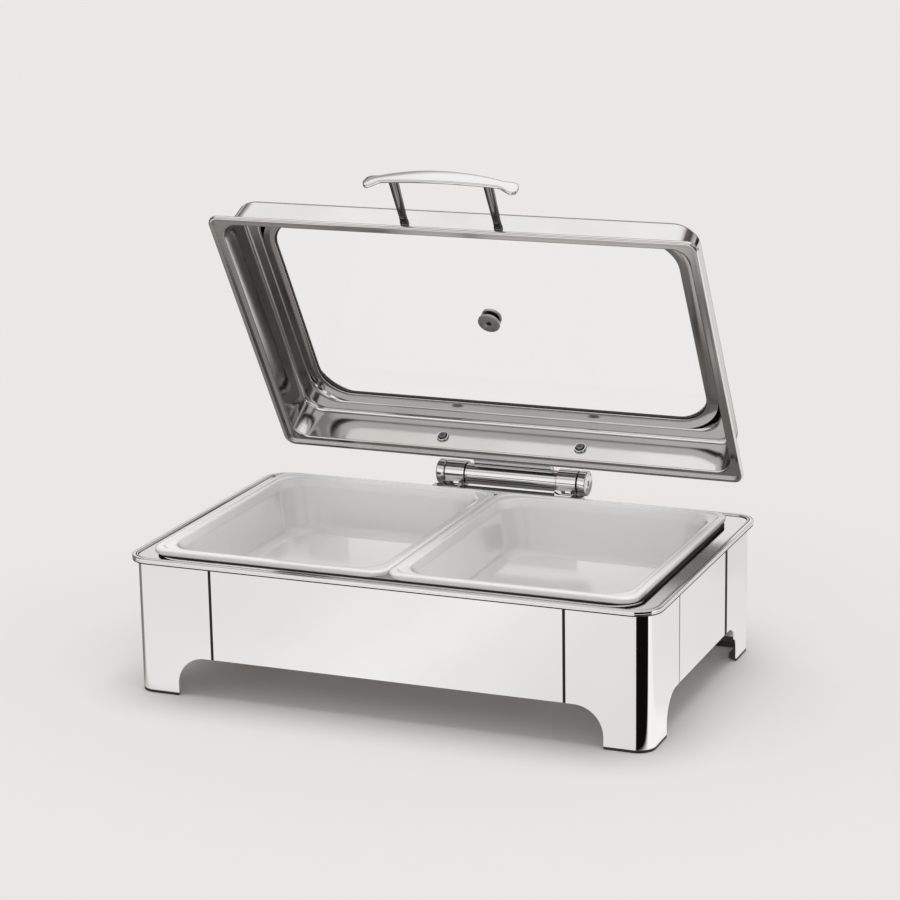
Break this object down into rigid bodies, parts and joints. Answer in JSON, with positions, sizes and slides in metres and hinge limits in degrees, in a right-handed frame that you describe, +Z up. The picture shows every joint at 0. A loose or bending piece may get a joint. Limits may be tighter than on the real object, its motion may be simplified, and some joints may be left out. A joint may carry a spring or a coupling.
{
  "type": "glass-lid chafing dish",
  "caption": "Rectangular chafing dish with a hinged glass-window lid, white porcelain food pans and a mirror steel stand on arched feet.",
  "frame": {"origin": "on the table, under the middle of the stand", "axes": "+X to the right seen from the front, +Y to the back where the hinge is, +Z up"},
  "size_m": [0.58, 0.3945, 0.5375],
  "materials": {
    "mirror_steel": "mirror-polished stainless steel",
    "satin_steel": "satin stainless steel",
    "white_porcelain": "glossy white glaze",
    "clear_glass": "clear tempered glass",
    "black_rubber": "black silicone",
    "bearing_plastic": "natural acetal"
  },
  "bodies": {
    "stand": {"leg_front_left": "mirror_steel", "leg_front_right": "mirror_steel", "leg_rear_left": "mirror_steel", "leg_rear_right": "mirror_steel", "rubber_foot_front_left": "black_rubber", "rubber_foot_front_right": "black_rubber", "rubber_foot_rear_left": "black_rubber", "rubber_foot_rear_right": "black_rubber", "apron_front": "mirror_steel", "apron_rear": "mirror_steel", "apron_left": "mirror_steel", "apron_right": "mirror_steel", "seam_strips_front": "satin_steel", "seam_strips_rear": "satin_steel", "seam_strips_left": "satin_steel", "seam_strips_right": "satin_steel", "rim_frame": "mirror_steel", "shelf_hanger_left": "satin_steel", "shelf_hanger_right": "satin_steel", "burner_shelf": "satin_steel", "burner_cup_left": "satin_steel", "burner_cup_right": "satin_steel", "cover_pin_left": "satin_steel", "cover_pin_right": "satin_steel", "hinge_base_plate": "mirror_steel", "hinge_backing_plate": "satin_steel", "hinge_bolts": "satin_steel", "hinge_nuts": "satin_steel", "hinge_ring_left": "mirror_steel", "hinge_ring_right": "mirror_steel", "hinge_cap_left": "mirror_steel", "hinge_cap_right": "mirror_steel", "hinge_axle": "satin_steel", "damper_rotor": "bearing_plastic", "lift_spring_left": "satin_steel", "lift_spring_right": "satin_steel"},
    "lid": {"lid_shell": "mirror_steel", "window_glass": "clear_glass", "glass_gasket": "black_rubber", "glass_retainer": "mirror_steel", "vent_plug": "mirror_steel", "vent_seal_inner": "black_rubber", "vent_seal_outer": "black_rubber", "vent_nut": "mirror_steel", "hinge_barrel_leaf": "mirror_steel", "hinge_bush_left": "bearing_plastic", "hinge_bush_right": "bearing_plastic", "lid_screws": "mirror_steel", "cup_washers": "mirror_steel", "handle_grip": "mirror_steel", "handle_post_left": "mirror_steel", "handle_post_right": "mirror_steel", "handle_screws": "satin_steel"},
    "water_pan": {"water_pan": "satin_steel", "pan_divider_bar": "satin_steel"},
    "food_pan_left": {"food_pan_left": "white_porcelain"},
    "food_pan_right": {"food_pan_right": "white_porcelain"},
    "burner_cover_left": {"burner_cover_left": "satin_steel"},
    "burner_cover_right": {"burner_cover_right": "satin_steel"}
  },
  "joints": [
    {"name": "lid_hinge", "type": "hinge", "parent": "stand", "child": "lid", "pos_m": [0, 0.198, 0.161], "axis": [-1, 0, 0], "range_deg": [-58.5, 31.5]},
    {"name": "water_pan_lift", "type": "slide", "parent": "stand", "child": "water_pan", "axis": [0, 0, 1], "range_m": [0, 0.06]},
    {"name": "food_pan_left_lift", "type": "slide", "parent": "water_pan", "child": "food_pan_left", "axis": [0, 0, 1], "range_m": [0, 0.06]},
    {"name": "food_pan_right_lift", "type": "slide", "parent": "water_pan", "child": "food_pan_right", "axis": [0, 0, 1], "range_m": [0, 0.06]},
    {"name": "burner_cover_left_swing", "type": "hinge", "parent": "stand", "child": "burner_cover_left", "pos_m": [-0.096, 0.052, 0.0622], "axis": [0, 0, -1], "range_deg": [0, 100]},
    {"name": "burner_cover_right_swing", "type": "hinge", "parent": "stand", "child": "burner_cover_right", "pos_m": [0.096, 0.052, 0.0622], "axis": [0, 0, 1], "range_deg": [0, 100]}
  ]
}
